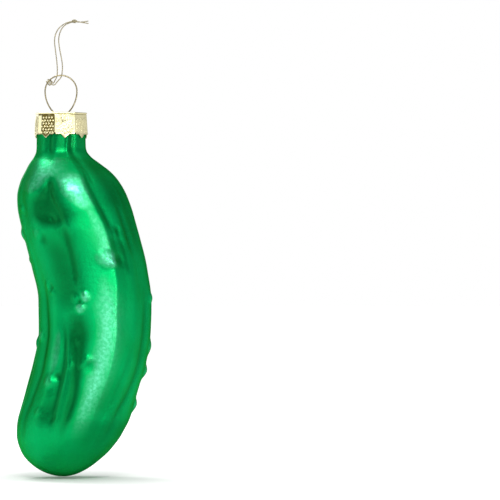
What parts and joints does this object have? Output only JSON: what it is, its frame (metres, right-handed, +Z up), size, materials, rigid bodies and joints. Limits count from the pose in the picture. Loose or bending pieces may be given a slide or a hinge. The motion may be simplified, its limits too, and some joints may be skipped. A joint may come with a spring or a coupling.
{
  "type": "pickle ornament",
  "caption": "Hanging glass ornament shaped as a warted pickle, with a metal crown cap, a wire eye and a thread loop.",
  "frame": {"origin": "inside top of the wire eye, where a hook bears", "axes": "+Z up along the hanging line, -Y towards the front, +X towards the side that the pickle bows to"},
  "size_m": [0.0381, 0.0315, 0.1279],
  "materials": {
    "green_glass": "satin green coat on thin blown glass",
    "crown_metal": "stamped sheet, pale gold",
    "hanger_wire": "drawn spring wire, dull gold",
    "gold_thread": "twisted metallic thread"
  },
  "bodies": {
    "glass": {"glass_pickle": "green_glass"},
    "cap": {"crown_cap": "crown_metal"},
    "hanger": {"wire_hanger": "hanger_wire"},
    "cord": {"hanging_cord": "gold_thread", "cord_knot": "gold_thread"}
  },
  "joints": [
    {"name": "cap_lift", "type": "slide", "parent": "glass", "child": "cap", "axis": [0, 0, 1], "range_m": [0, 0.014]},
    {"name": "hanger_pull", "type": "slide", "parent": "cap", "child": "hanger", "axis": [0, 0, 1], "range_m": [0, 0.002]},
    {"name": "cord_swing", "type": "hinge", "parent": "hanger", "child": "cord", "pos_m": [-0.00351, 0, -0.00151], "axis": [0.6157, 0, 0.788], "range_deg": [0, 150]}
  ]
}
